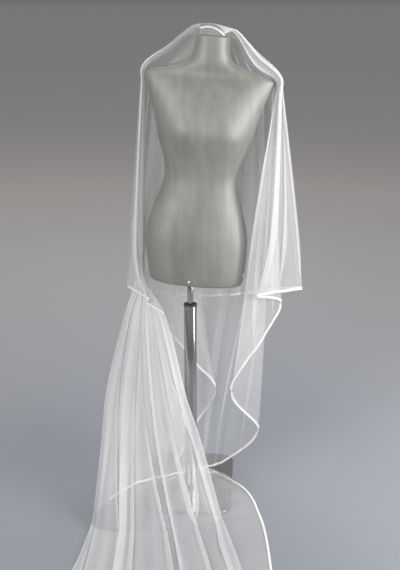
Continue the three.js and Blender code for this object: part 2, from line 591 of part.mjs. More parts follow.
function addVeil() {
  const hanging = VEIL_FOLDS.map(hangingLine);
  const place = (name) => VEIL_FOLDS.findIndex((row) => row.name === name);
  const stretch = (from, to) => sheetColumns(VEIL_FOLDS, hanging, hangingOpen, from, to);
  const tuckSeam = place('tuckBack') + 0.5;
  const rightSeam = place('rightCorner') + 0.5;
  const cascadeSeam = place('cascadeBack') + 0.5;
  const swathSeam = place('lowerInnerLeft') + 0.5;
  addHemmed('cascade_left', 'ribbon_cascade_left', stretch(0, tuckSeam));
  addHemmed('upper_tier_left', 'ribbon_upper_left', stretch(tuckSeam, place('backLeft')));
  addHemmed('upper_tier_back', 'ribbon_upper_back', stretch(place('backLeft'), place('backRight')));
  addHemmed('upper_tier_right', 'ribbon_upper_right', stretch(place('backRight'), rightSeam));
  addHemmed('cascade_right', 'ribbon_cascade_right', stretch(rightSeam, cascadeSeam));
  addHemmed('lower_tier_back', 'ribbon_lower_back', stretch(cascadeSeam, swathSeam), 'lower_tier_back_top');

  const front = stretch(swathSeam, VEIL_FOLDS.length - 1);
  trimSeams(front);
  const normals = gridNormals(front);
  addTop('lower_tier_front_top', front, normals);
  const hung = front.map((column) => [
    ...column.slice(TIER_LEVEL, -1),
    backFrom(column[column.length - 1], column[column.length - 2], FLOOR_SEAM),
  ]);
  add('lower_tier_front', wallGeometry(hung, normals.map((column) => column.slice(TIER_LEVEL)), WALL), tulle);

  const flap = sheetColumns(FLAP_FOLDS, FLAP_FOLDS.map(hangingLine), hangingOpen, 0, FLAP_FOLDS.length - 1);
  addHemmed('flap_left', 'ribbon_flap_left', flap);
}

function addTrain() {
  const laid = sheetColumns(TRAIN_FOLDS, TRAIN_FOLDS.map(floorLine), floorOpen, 0, TRAIN_FOLDS.length - 1);
  const names = [TRAIN_FOLDS[0].name, TRAIN_FOLDS[TRAIN_FOLDS.length - 1].name];
  const [from, to] = names.map((name) => VEIL_FOLDS.findIndex((row) => row.name === name));
  const hung = sheetColumns(VEIL_FOLDS, VEIL_FOLDS.map(hangingLine), hangingOpen, from, to);
  laid.forEach((column, i) => {
    column[0] = backFrom(hung[i][hung[i].length - 1], column[1], FLOOR_SEAM);
  });
  addHemmed('train', 'ribbon_train_end', laid);

  const side = SIDE_PLACES.map((place) => {
    const curve = smooth([place.inner, place.crest, place.edge].map((point) => V(...point)));
    return SIDE_SHARES.map((share) => curve.getPoint(share));
  });
  addHemmed('train_side', 'ribbon_train_side', side.reverse());
}

addForm();
addStud('stud_middle', 27, -97);
addStud('stud_side', 46, -18);
addStand();
addComb();
addVeil();
addTrain();

export default veilOnForm;
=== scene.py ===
"""Two-tier bridal veil of tulle with a ribbon edge, on a limbless dress form with a chromed stand."""
import math

import bpy
import numpy as np
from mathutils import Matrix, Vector


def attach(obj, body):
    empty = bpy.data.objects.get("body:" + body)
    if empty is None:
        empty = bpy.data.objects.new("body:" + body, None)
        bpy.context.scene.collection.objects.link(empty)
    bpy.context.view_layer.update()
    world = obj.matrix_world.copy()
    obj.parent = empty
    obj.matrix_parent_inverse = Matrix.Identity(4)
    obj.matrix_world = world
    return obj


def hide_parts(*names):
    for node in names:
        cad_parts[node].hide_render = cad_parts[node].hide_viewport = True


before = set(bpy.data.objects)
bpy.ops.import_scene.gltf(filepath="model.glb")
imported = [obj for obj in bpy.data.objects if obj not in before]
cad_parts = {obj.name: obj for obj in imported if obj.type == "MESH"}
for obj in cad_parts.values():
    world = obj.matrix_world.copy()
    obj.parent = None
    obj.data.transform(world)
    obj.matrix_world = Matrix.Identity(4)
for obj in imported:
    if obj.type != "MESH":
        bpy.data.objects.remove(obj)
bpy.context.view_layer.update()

# Sizes are in millimetres up to the meshes, which are in metres
MM = 0.001

# Stand
PLATE_WIDTH, PLATE_DEPTH, PLATE_THICK = 280, 375, 9
PLATE_CORNER, PLATE_BACK, PLATE_TURN = 45, 25, -4
TUBE_RADIUS, TUBE_TOP = 20.5, 668
COLLAR_RADIUS, COLLAR_LIP = 22, 6
ROD_RADIUS, POLE_X = 9.5, -3
ROUND_STEPS = 72

# Dress form
FORM_LIFT, FORM_SHIFT, FORM_LEAN, FORM_HEIGHT = 748, 2, 4.9, 750
NECK_RADIUS, SOCKET_DEPTH = 49, 90
FORM_STEPS = 128
SECTION_STEPS = 5
FORM_EDGE = 1.5
FORM_SQUARENESS = 2.25
BUST_HEIGHT, BUST_SIDE, BUST_DEPTH, BUST_SPREAD = 478, 68, 14, 52

# Cloth
GAP, WALL = 0.3, 1.2
RIBBON_WIDTH, RIBBON_THICK = 7.5, 0.7
NECK_CLEAR, NECK_LIFT, FOLD_STEEP = 5, 12, 0.1
TOP_LEGS = (0, 1, 1.5, 2, 2.5, 3)
TOP_STEPS = 14
DROP_STEPS = 60
SPAN_STEPS = 44
LINE_STEPS = 60
# The leg of a fold line that ends on the shoulder, and the drop's weight against one step of TOP_LEGS
SHOULDER_LEG, DROP_WEIGHT = 3, 10
# Share of the drop over which a pleat half opens, and how far its layers stand apart for its depth
PLEAT_FADE, PLEAT_STAND = 0.12, 3.5
# Step either way along a level for its slope
SLOPE_STEP = 0.005
# How much of a fold line's even wave is left beside the pleats
WAVE_SHARE = 0.45
# Fold lines where fine crinkles crowd the net, and by how much
CROWDED = dict(leftTurn=1.4, backLeft=1.1, rightTurn=1.05, rightCorner=1.15, cascadeStep=1.1,
               lowerInnerLeft=1.1, leftFold=1.1, frontLeft=1.25, frontInnerLeft=1.4, frontMiddle=1.4,
               frontInnerRight=1.3, frontRight=1.25, frontTuck=1)
NET_COVER = 0.2
# How much denser the swath grows towards the floor, the power of the train's cover, and its side's factor
SWATH_DENSER, TRAIN_DENSER, SIDE_DENSER = 0.32, 1.35, 1.2
SIDE_STEPS, SIDE_RIPPLES, SIDE_RIPPLE_HEIGHT = 40, 9.5, 1.5
FLOOR_LEAST = 0.5

# Comb
COMB_HALF, COMB_CENTRE, COMB_FRONT, COMB_RISE = 36, -4, -35, 12
COMB_LIFT_LEFT, COMB_LIFT_RIGHT = 18, 3.2
COMB_SPINE, COMB_TEETH, COMB_TOOTH = 3, 13, 0.9
COMB_STEPS, TOOTH_STEPS = 41, 15
BINDING_RADIUS = 2.3
WHIPPING_TURNS, WHIPPING_RADIUS, WHIPPING_THREAD, WHIPPING_STEPS = 46, 2.5, 0.34, 14
# How far behind and above the comb's spine its binding and whipping are centred
BINDING_OFFSET = (-0.3, 0.3)

# View and light
VIEW_PLACE = (0.028, -2.5, 1.588)
VIEW_DOWN = 18.8
VIEW_LENS, VIEW_SENSOR = 52.55, 36
# The floor reaches out of sight, and rises beyond that as a far pale wall
FLOOR_REACH, FLOOR_FAR, FLOOR_RISE, FLOOR_DROP = 600000, 620000, 60000, 0.3

# Form: one row a section, bottom to neck, with half width, depths before and behind, and how far its
# middle lies to the right
FORM_SECTIONS = [
    dict(height=10, half=146, front=82, back=88, aside=13),
    dict(height=45, half=151, front=92, back=98, aside=11),
    dict(height=150, half=158, front=100, back=110, aside=3),
    dict(height=230, half=141, front=92, back=98, aside=0),
    dict(height=290, half=121, front=82, back=82, aside=0),
    dict(height=340, half=111, front=78, back=72, aside=0),
    dict(height=390, half=118, front=88, back=74, aside=0),
    dict(height=440, half=134, front=104, back=80, aside=0),
    dict(height=480, half=146, front=114, back=86, aside=0),
    dict(height=530, half=158, front=106, back=92, aside=0),
    dict(height=580, half=174, front=86, back=92, aside=0),
    dict(height=615, half=187, front=66, back=84, aside=0),
    dict(height=635, half=190, front=52, back=74, aside=3),
    dict(height=645, half=178, front=48, back=68, aside=0),
    dict(height=656, half=138, front=48, back=64, aside=0),
    dict(height=668, half=96, front=50, back=60, aside=0),
    dict(height=683, half=65, front=51, back=56, aside=0),
    dict(height=702, half=54, front=50, back=52, aside=0),
    dict(height=726, half=50, front=49, back=49, aside=0),
    dict(height=FORM_HEIGHT, half=NECK_RADIUS, front=48, back=48, aside=0),
]

# Folds of the veil. Each row is one fold line from the comb down to the hem:
#   at        share along the comb, 0 left to 1 right
#   layer     height over the comb's spine, so that the outer tier lies on top
#   leave     angle at which the line leaves the neck's rim, 0 right, 90 back, 180 left
#   sag       how far it hangs below a straight line between neck and shoulder
#   shoulder, hip, thigh, knee, calf, ankle and hem are places on the line
#   folds     soft folds between this line and the next
#   depth     how deep those folds are at the hem
VEIL_FOLDS = [
    dict(name="tuckCorner", at=0, layer=5, leave=176, sag=1, folds=1, depth=1.5, shoulder=(-134, -7, 1408),
         hip=(-157, 17, 900), thigh=(-151, 5, 772), hem=(-88, -27, 648)),
    dict(name="tuckBack", at=0, layer=7, leave=172, sag=0, folds=1, depth=1.5, shoulder=(-136, 14, 1410),
         hip=(-170, 38, 900), thigh=(-160, 34, 775), hem=(-146, 14, 672)),
    dict(name="leftEdge", at=0, layer=10, leave=178, sag=0, folds=1, depth=3, shoulder=(-138, -4, 1412),
         hip=(-169, 8, 905), thigh=(-164, -10, 785), hem=(-133, -20, 693)),
    dict(name="leftTurn", at=0.05, layer=10, leave=160, sag=0, folds=2, depth=4, shoulder=(-141, 29, 1411),
         hip=(-190, 56, 890), hem=(-209, 82, 701)),
    dict(name="backLeft", at=0.16, layer=10, leave=132, sag=4, folds=2, depth=9, shoulder=(-118, 95, 1370),
         hip=(-166, 148, 880), hem=(-172, 168, 658)),
    dict(name="backInnerLeft", at=0.33, layer=10, leave=108, sag=5, folds=2, depth=9,
         shoulder=(-40, 120, 1345), hip=(-78, 172, 872), hem=(-80, 184, 641)),
    dict(name="backMiddle", at=0.52, layer=10, leave=88, sag=5, folds=2, depth=9, shoulder=(55, 123, 1338),
         hip=(30, 176, 866), hem=(28, 188, 631)),
    dict(name="backInnerRight", at=0.7, layer=10, leave=68, sag=5, folds=2, depth=9,
         shoulder=(145, 117, 1330), hip=(140, 170, 860), hem=(148, 177, 640)),
    dict(name="backRight", at=0.84, layer=10, leave=42, sag=3, folds=2, depth=7, shoulder=(230, 82, 1345),
         hip=(258, 140, 862), hem=(268, 142, 670)),
    dict(name="rightTurn", at=0.92, layer=10, leave=16, sag=1, folds=3, depth=8, shoulder=(265, 24, 1381),
         hip=(336, 24, 890), hem=(352, -6, 725)),
    dict(name="rightCorner", at=0.98, layer=9, leave=-10, sag=8, folds=1, depth=2,
         shoulder=(263, -24, 1376), hip=(239, -78, 905), hem=(204, -90, 729)),
    dict(name="middleTurn", at=0.99, layer=7, leave=-4, sag=13, folds=1, depth=2, shoulder=(260, 4, 1373),
         hip=(272, 2, 900), hem=(291, 20, 666)),
    dict(name="cascadeStep", at=0.99, layer=5.5, leave=-9, sag=19, folds=2, depth=2,
         shoulder=(258, -9, 1371), hip=(226, -38, 905), thigh=(230, -28, 720), hem=(234, -18, 563)),
    dict(name="cascadeCorner", at=0.99, layer=4, leave=-13, sag=26, folds=1, depth=4,
         shoulder=(254, -20, 1368), hip=(187, -68, 912), thigh=(160, -54, 640), hem=(131, -10, 365)),
    dict(name="cascadeBack", at=0.97, layer=2, leave=4, sag=19, folds=1, depth=6, shoulder=(253, 9, 1367),
         hip=(246, 62, 890), thigh=(243, 74, 560), hem=(231, 92, 158)),
    dict(name="lowerRight", at=0.87, layer=0, leave=34, sag=5, folds=2, depth=7, shoulder=(224, 67, 1343),
         hip=(224, 108, 875), knee=(178, 122, 480), hem=(112, 108, 32)),
    dict(name="lowerInnerRight", at=0.68, layer=0, leave=64, sag=7, folds=2, depth=7,
         shoulder=(140, 102, 1326), hip=(126, 142, 865), knee=(80, 134, 480), hem=(46, 100, 13)),
    dict(name="lowerMiddle", at=0.48, layer=0, leave=88, sag=8, folds=2, depth=7, shoulder=(50, 107, 1332),
         hip=(18, 149, 865), knee=(-40, 128, 480), hem=(-77, 48, 13)),
    dict(name="lowerInnerLeft", at=0.28, layer=0, leave=110, sag=7, folds=2, depth=7,
         shoulder=(-38, 105, 1340), hip=(-86, 144, 870), knee=(-150, 96, 480), hem=(-199, -10, 12)),
    dict(name="leftFold", at=0.12, layer=0.5, leave=138, sag=3, folds=2, depth=8,
         shoulder=(-117, 84, 1368), hip=(-168, 100, 890), thigh=(-190, 94, 705), knee=(-212, 76, 640),
         calf=(-285, 32, 360), ankle=(-300, -32, 200), hem=(-316, -190, 8)),
    dict(name="frontLeft", at=0.09, layer=1.5, leave=148, sag=2, folds=2, depth=9,
         shoulder=(-133.5, 34, 1406), hip=(-171, 80, 890), thigh=(-171, 76, 705), knee=(-196, 46, 640),
         calf=(-262, -16, 360), ankle=(-280, -88, 200), hem=(-300, -252, 9)),
    dict(name="frontInnerLeft", at=0.07, layer=2.2, leave=153, sag=2, folds=2, depth=10,
         shoulder=(-133.5, 25, 1407), hip=(-168, 68, 890), thigh=(-160, 60, 705), knee=(-172, 26, 640),
         calf=(-205, -50, 362), ankle=(-214, -118, 203), hem=(-215, -275, 9)),
    dict(name="frontMiddle", at=0.05, layer=2.8, leave=158, sag=2, folds=2, depth=10,
         shoulder=(-133.5, 17, 1407), hip=(-164, 59, 890), thigh=(-152, 47, 715), knee=(-146, 12, 642),
         calf=(-140, -76, 366), ankle=(-132, -136, 206), hem=(-110, -275, 10)),
    dict(name="frontInnerRight", at=0.03, layer=3.2, leave=163, sag=2, folds=2, depth=9,
         shoulder=(-133, 9, 1407), hip=(-158, 50, 890), thigh=(-149, 37, 740), knee=(-120, 5, 645),
         calf=(-72, -84, 370), ankle=(-46, -132, 215), hem=(0, -255, 11)),
    dict(name="frontRight", at=0.02, layer=3, leave=167, sag=2, folds=1, depth=3,
         shoulder=(-131.5, 2, 1406), hip=(-152, 42, 892), thigh=(-150, 31, 744), knee=(-92, 10, 645),
         calf=(-16, -66, 368), ankle=(32, -98, 230), hem=(98, -196, 16)),
    dict(name="frontTuck", at=0.03, layer=1, leave=165, sag=3, folds=0, depth=0, shoulder=(-131.5, 14, 1404),
         hip=(-145, 62, 890), thigh=(-146, 53, 744), knee=(-102, 38, 640), calf=(-60, -18, 366),
         ankle=(-48, -34, 220), hem=(-44, -64, 16)),
]

FLAP_FOLDS = [
    dict(name="flapTop", at=0.2, layer=-4, leave=130, sag=9, folds=1, depth=2, shoulder=(-94, 70, 1362),
         hip=(-118, 93, 880), thigh=(-98, 66, 700), hem=(-74, 40, 560)),
    dict(name="flapStep", at=0.28, layer=-4.5, leave=114, sag=9, folds=1, depth=2,
         shoulder=(-52, 90, 1346), hip=(-56, 119, 880), thigh=(-26, 98, 640), hem=(14, 70, 430)),
    dict(name="flapCorner", at=0.36, layer=-3.6, leave=104, sag=9, folds=1, depth=2,
         shoulder=(-12, 96, 1342), hip=(8, 128, 880), thigh=(44, 116, 560), hem=(82, 94, 322)),
    dict(name="flapBack", at=0.28, layer=-2, leave=114, sag=8, folds=1, depth=2, shoulder=(-52, 97, 1347),
         hip=(-62, 131, 880), thigh=(-34, 118, 480), hem=(18, 92, 196)),
    dict(name="flapInner", at=0.2, layer=-1.6, leave=130, sag=8, folds=0, depth=0,
         shoulder=(-97, 77, 1364), hip=(-128, 106, 880), thigh=(-100, 78, 480), hem=(-56, 46, 60)),
]

TRAIN_FOLDS = [
    dict(name="leftFold", folds=2, depth=8, start=(-316, -190, 8), middle=(-345, -430, 4),
         far=(-385, -560, 3), end=(-398, -660, 1)),
    dict(name="frontLeft", folds=2, depth=9, start=(-300, -252, 9), middle=(-308, -480, 4),
         far=(-332, -660, 3), end=(-345, -800, 1)),
    dict(name="frontInnerLeft", folds=2, depth=10, start=(-215, -275, 9), middle=(-215, -500, 5),
         far=(-214, -700, 4), end=(-212, -880, 1)),
    dict(name="frontMiddle", folds=2, depth=10, start=(-110, -275, 10), middle=(-88, -510, 6),
         far=(-76, -720, 4), end=(-68, -918, 1)),
    dict(name="frontInnerRight", folds=2, depth=8, start=(0, -255, 11), middle=(46, -500, 9),
         far=(62, -700, 8), end=(74, -905, 7)),
    dict(name="frontRight", folds=0, depth=0, start=(98, -196, 16), middle=(146, -430, 14),
         far=(172, -640, 12), end=(176, -850, 9)),
]

SIDE_PLACES = [
    dict(inner=(-34, 58, 44), crest=(-8, 68, 46), edge=(26, 86, 34)),
    dict(inner=(-30, 34, 18), crest=(8, 56, 40), edge=(56, 66, 14)),
    dict(inner=(24, 34, 14), crest=(56, 52, 44), edge=(89, 64, 14)),
    dict(inner=(30, -20, 13), crest=(82, 6, 40), edge=(134, 26, 14)),
    dict(inner=(40, -80, 13), crest=(108, -50, 28), edge=(178, -10, 5)),
    dict(inner=(52, -150, 12), crest=(128, -118, 18), edge=(207, -72, 2)),
    dict(inner=(66, -205, 4), crest=(142, -180, 9), edge=(222, -150, 2)),
    dict(inner=(84, -290, 2), crest=(158, -262, 5), edge=(235, -240, 2)),
    dict(inner=(96, -437, 2), crest=(168, -437, 5), edge=(241, -437, 1)),
    dict(inner=(104, -650, 1), crest=(170, -650, 3), edge=(236, -650, 1)),
    dict(inner=(110, -850, 1), crest=(156, -860, 2), edge=(200, -840, 1)),
]
# Sharp pleats that double back on themselves, so that three layers of tulle show as a pale band:
#   at, foot      place among the fold lines at the pleat's top and at the hem
#   width         half width of the cloth that the pleat takes up, in fold lines
#   turn          over 1 the cloth doubles back, and the band grows wider
#   top, bottom   shares of the drop between which the pleat is open
#   depth         how far its layers stand apart
UPPER_PLEATS = [
    dict(at=1.8, foot=1.7, width=0.22, turn=2.6, top=0.1, bottom=1.08, depth=3),
    dict(at=2.4, foot=2.2, width=0.24, turn=3.0, top=0.15, bottom=1.08, depth=-4),
    dict(at=2.85, foot=2.8, width=0.14, turn=2.8, top=0.08, bottom=0.9, depth=3),
    dict(at=3.3, foot=3.15, width=0.3, turn=3.2, top=0.2, bottom=1.08, depth=4),
    dict(at=3.8, foot=3.9, width=0.16, turn=3.0, top=0.3, bottom=1.08, depth=-4),
    dict(at=4.3, foot=4.5, width=0.24, turn=3.0, top=0.1, bottom=1.08, depth=5),
    dict(at=4.9, foot=4.75, width=0.14, turn=3.2, top=0.12, bottom=0.8, depth=-4),
    dict(at=5.3, foot=5.2, width=0.3, turn=3.2, top=0.15, bottom=1.08, depth=6),
    dict(at=5.8, foot=6.0, width=0.16, turn=2.8, top=0.35, bottom=1.08, depth=4),
    dict(at=6.3, foot=6.5, width=0.26, turn=3.4, top=0.1, bottom=1.08, depth=-5),
    dict(at=6.85, foot=6.75, width=0.14, turn=2.8, top=0.1, bottom=0.7, depth=4),
    dict(at=7.2, foot=7.1, width=0.28, turn=3.2, top=0.25, bottom=1.08, depth=5),
    dict(at=7.7, foot=7.85, width=0.16, turn=3.2, top=0.12, bottom=1.08, depth=-5),
    dict(at=8.2, foot=8.1, width=0.26, turn=3.2, top=0.1, bottom=1.08, depth=5),
    dict(at=8.62, foot=8.66, width=0.12, turn=3.0, top=0.3, bottom=1.08, depth=3),
    dict(at=9.06, foot=9.1, width=0.1, turn=3.0, top=0.04, bottom=1.08, depth=3),
    dict(at=9.4, foot=9.52, width=0.13, turn=3.0, top=0.06, bottom=1.08, depth=-3),
    dict(at=9.84, foot=9.84, width=0.15, turn=3.6, top=-0.1, bottom=1.08, depth=4),
    dict(at=10.5, foot=10.4, width=0.2, turn=2.6, top=0.2, bottom=1.08, depth=3),
]
LOWER_PLEATS = [
    dict(at=0.45, foot=0.4, width=0.25, turn=2.4, top=0.3, bottom=1.08, depth=2),
    dict(at=11.4, foot=11.6, width=0.2, turn=2.6, top=0.15, bottom=1.08, depth=3),
    dict(at=12.4, foot=12.3, width=0.22, turn=3.0, top=0.05, bottom=1.08, depth=-3),
    dict(at=12.8, foot=13.1, width=0.14, turn=2.8, top=0.3, bottom=1.08, depth=3),
    dict(at=13.5, foot=13.4, width=0.2, turn=3.0, top=0.1, bottom=0.9, depth=4),
    dict(at=14.3, foot=14.6, width=0.16, turn=3.2, top=0.2, bottom=1.08, depth=4),
    dict(at=15.4, foot=16.1, width=0.2, turn=3.6, top=0.1, bottom=1.08, depth=6),
    dict(at=14.5, foot=15.6, width=0.12, turn=3.0, top=0.4, bottom=1.08, depth=-4),
    dict(at=13.9, foot=18.0, width=0.1, turn=3.0, top=0.4, bottom=0.9, depth=4),
    dict(at=14.9, foot=18.6, width=0.14, turn=3.2, top=0.36, bottom=0.92, depth=-5),
    dict(at=16.2, foot=17.2, width=0.2, turn=3.2, top=0.15, bottom=1.08, depth=5),
    dict(at=17.0, foot=17.7, width=0.14, turn=3.0, top=0.1, bottom=0.75, depth=5),
    dict(at=17.5, foot=18.2, width=0.24, turn=3.2, top=0.2, bottom=1.08, depth=5),
    dict(at=18.1, foot=18.5, width=0.16, turn=3.0, top=0.35, bottom=1.08, depth=-4),
    dict(at=18.7, foot=18.75, width=0.18, turn=3.2, top=0.15, bottom=1.08, depth=4),
]
SWATH_FROM = 19
SWATH_PLEATS = [
    dict(at=0.1, foot=0.6, width=0.22, turn=3.2, top=0.3, bottom=1.2, depth=5),
    dict(at=-0.2, foot=1.8, width=0.14, turn=3.4, top=0.45, bottom=1.2, depth=6),
    dict(at=1.3, foot=2.0, width=0.24, turn=3.4, top=0.3, bottom=1.2, depth=-6),
    dict(at=2.4, foot=2.3, width=0.12, turn=3.6, top=0.4, bottom=1.2, depth=6),
    dict(at=0.5, foot=3.26, width=0.12, turn=3.6, top=0.5, bottom=1.2, depth=5),
    dict(at=1.9, foot=3.5, width=0.1, turn=3.4, top=0.45, bottom=1.2, depth=-5),
    dict(at=2.85, foot=2.8, width=0.2, turn=3.2, top=0.2, bottom=0.72, depth=5),
    dict(at=1.1, foot=5.2, width=0.12, turn=3.4, top=0.5, bottom=0.95, depth=5),
    dict(at=2.5, foot=4.1, width=0.16, turn=3.4, top=0.3, bottom=1.2, depth=6),
    dict(at=6.6, foot=4.2, width=0.14, turn=3.0, top=0.75, bottom=1.2, depth=4),
    dict(at=3.9, foot=4.7, width=0.2, turn=3.0, top=0.3, bottom=1.2, depth=-4),
    dict(at=4.7, foot=5.2, width=0.12, turn=2.8, top=0.3, bottom=1.2, depth=3),
]
FLAP_PLEATS = [
    dict(at=0.5, foot=0.5, width=0.24, turn=2.8, top=0.15, bottom=1.2, depth=2),
    dict(at=1.5, foot=1.55, width=0.24, turn=3.0, top=0.15, bottom=1.2, depth=3),
    dict(at=2.4, foot=2.5, width=0.24, turn=2.8, top=0.15, bottom=1.2, depth=3),
    dict(at=3.3, foot=3.4, width=0.24, turn=2.8, top=0.15, bottom=1.2, depth=3),
]
PLACE_KEYS = ("hip", "thigh", "knee", "calf", "ankle", "hem")
# Share of the way down to the hip at which a fold line has turned over the shoulder
SHOULDER_BEND = 0.1

# Stretches of the veil, each with the fold lines it runs between and its cut, width by length in metres
STRETCHES = [
    dict(node="cascade_left", ribbon="ribbon_cascade_left", first=0, last=1.5, flat=(0.1, 0.87), area=0.04),
    dict(node="upper_tier_left", ribbon="ribbon_upper_left", first=1.5, last=4, flat=(0.3, 0.87), area=0.165),
    dict(node="upper_tier_back", ribbon="ribbon_upper_back", first=4, last=8, flat=(0.56, 0.9), area=0.44),
    dict(node="upper_tier_right", ribbon="ribbon_upper_right", first=8, last=10.5,
         flat=(0.46, 0.87), area=0.27),
    dict(node="cascade_right", ribbon="ribbon_cascade_right", first=10.5, last=14.5,
         flat=(0.55, 1.42), area=0.37),
    dict(node="lower_tier_back", top="lower_tier_back_top", ribbon="ribbon_lower_back",
         first=14.5, last=18.5, flat=(0.62, 1.55), area=0.8),
    dict(node="lower_tier_front", top="lower_tier_front_top", ribbon=None,
         first=18.5, last=25, flat=(0.66, 1.7), area=0.63),
]


def spline(points, at):
    """Places along a smooth line through points, with at running from 0 to 1."""
    points = np.asarray(points, float)
    last = len(points) - 1
    padded = np.concatenate([[2 * points[0] - points[1]], points, [2 * points[-1] - points[-2]]])
    along = np.clip(np.asarray(at, float), 0, 1) * last
    leg = np.minimum(along.astype(int), last - 1)
    share = (along - leg)[:, None]
    p0, p1, p2, p3 = (padded[leg + k] for k in range(4))

    def root(a, b):
        return np.sqrt(np.linalg.norm(b - a, axis=1, keepdims=True))

    middle = np.maximum(root(p1, p2), 1e-4)
    before = np.where(root(p0, p1) < 1e-4, middle, root(p0, p1))
    after = np.where(root(p2, p3) < 1e-4, middle, root(p2, p3))
    leave = ((p1 - p0) / before - (p2 - p0) / (before + middle) + (p2 - p1) / middle) * middle
    arrive = ((p2 - p1) / middle - (p3 - p1) / (middle + after) + (p3 - p2) / after) * middle
    curve = 2 * p1 - 2 * p2 + leave + arrive
    bend = -3 * p1 + 3 * p2 - 2 * leave - arrive
    return p1 + share * (leave + share * (bend + share * curve))


def smoothstep(value, low, high):
    share = np.clip((value - low) / (high - low), 0, 1)
    return share * share * (3 - 2 * share)


def unit(vectors):
    return vectors / np.maximum(np.linalg.norm(vectors, axis=-1, keepdims=True), 1e-9)


def on_form(x, y, height):
    """A place given in the form's own frame, from the middle of its lower edge up its leaning axis."""
    lean = math.radians(FORM_LEAN)
    x, y, height = (np.asarray(value, float) for value in (x, y, height))
    right = x * math.cos(lean) + height * math.sin(lean) + FORM_SHIFT
    up = height * math.cos(lean) - x * math.sin(lean) + FORM_LIFT
    return np.stack(np.broadcast_arrays(right, y, up), axis=-1)


def comb_point(share, behind=0, above=0):
    lift = COMB_LIFT_LEFT + (COMB_LIFT_RIGHT - COMB_LIFT_LEFT) * share
    height = FORM_HEIGHT + lift + 4 * COMB_RISE * share * (1 - share) + above
    return on_form(COMB_CENTRE + COMB_HALF * (2 * share - 1), COMB_FRONT + behind, height)


def level_shares():
    """How far down the cloth each row of its mesh lies, 0 at the comb and 1 at the hem."""
    marks = len(TOP_LEGS) - 1
    whole = marks + DROP_WEIGHT
    legs = np.linspace(0, TOP_LEGS[-1], TOP_STEPS, endpoint=False)
    top = np.interp(legs, TOP_LEGS, np.arange(marks + 1)) / whole
    drop = marks / whole + (DROP_WEIGHT / whole) * np.linspace(0, 1, DROP_STEPS + 1)
    return np.concatenate([top, drop])


def hanging_line(row):
    """Points down one fold line, from just behind the comb's spine over neck and shoulder to the hem."""
    comb = comb_point(row["at"], COMB_SPINE / 2 + GAP + WALL, 1.5 + row["layer"])
    rim = NECK_RADIUS + NECK_CLEAR + row["layer"]
    turn = math.radians(row["leave"])
    neck = on_form(rim * math.cos(turn), rim * math.sin(turn), FORM_HEIGHT + NECK_LIFT + row["layer"])
    shoulder = np.array(row["shoulder"], float)
    slope = (neck + shoulder) / 2 - (0, 0, row["sag"])
    drop = [np.array(row[key], float) for key in PLACE_KEYS if key in row]
    bend = shoulder + SHOULDER_BEND * (drop[0] - shoulder)
    points = [comb, neck, slope, shoulder, bend] + drop
    legs = len(points) - 1
    shares = np.linspace(0, 1, LINE_STEPS * legs + 1)
    dense = spline(points, shares)
    lengths = np.concatenate([[0], np.cumsum(np.linalg.norm(np.diff(dense, axis=0), axis=1))])
    before = lengths[LINE_STEPS * SHOULDER_LEG]
    wanted = before + (lengths[-1] - before) * np.linspace(0, 1, DROP_STEPS + 1)
    top = spline(points, np.linspace(0, TOP_LEGS[-1], TOP_STEPS, endpoint=False) / legs)
    return np.concatenate([top, spline(points, np.interp(wanted, lengths, shares))])


def floor_line(row):
    places = [row[key] for key in ("start", "middle", "far", "end")]
    return spline(places, np.linspace(0, 1, DROP_STEPS + 1))


def pleated(places, shares, pleats):
    """Where pleated cloth is taken from, and how far out each layer stands, by place and level."""
    moved = np.repeat(places[:, None], len(shares), axis=1)
    start = moved.copy()
    out = np.zeros_like(moved)
    for pleat in pleats:
        centre = pleat["at"] + (pleat["foot"] - pleat["at"]) * shares
        opened = smoothstep(shares, pleat["top"], pleat["top"] + 2 * PLEAT_FADE)
        opened *= 1 - smoothstep(shares, pleat["bottom"] - 2 * PLEAT_FADE, pleat["bottom"])
        near = np.clip((start - centre) / pleat["width"], -1, 1)
        lobe = near * (1 - near * near) ** 2
        moved -= pleat["turn"] * pleat["width"] * lobe * opened
        out += PLEAT_STAND * pleat["depth"] * lobe * opened
    return moved, out


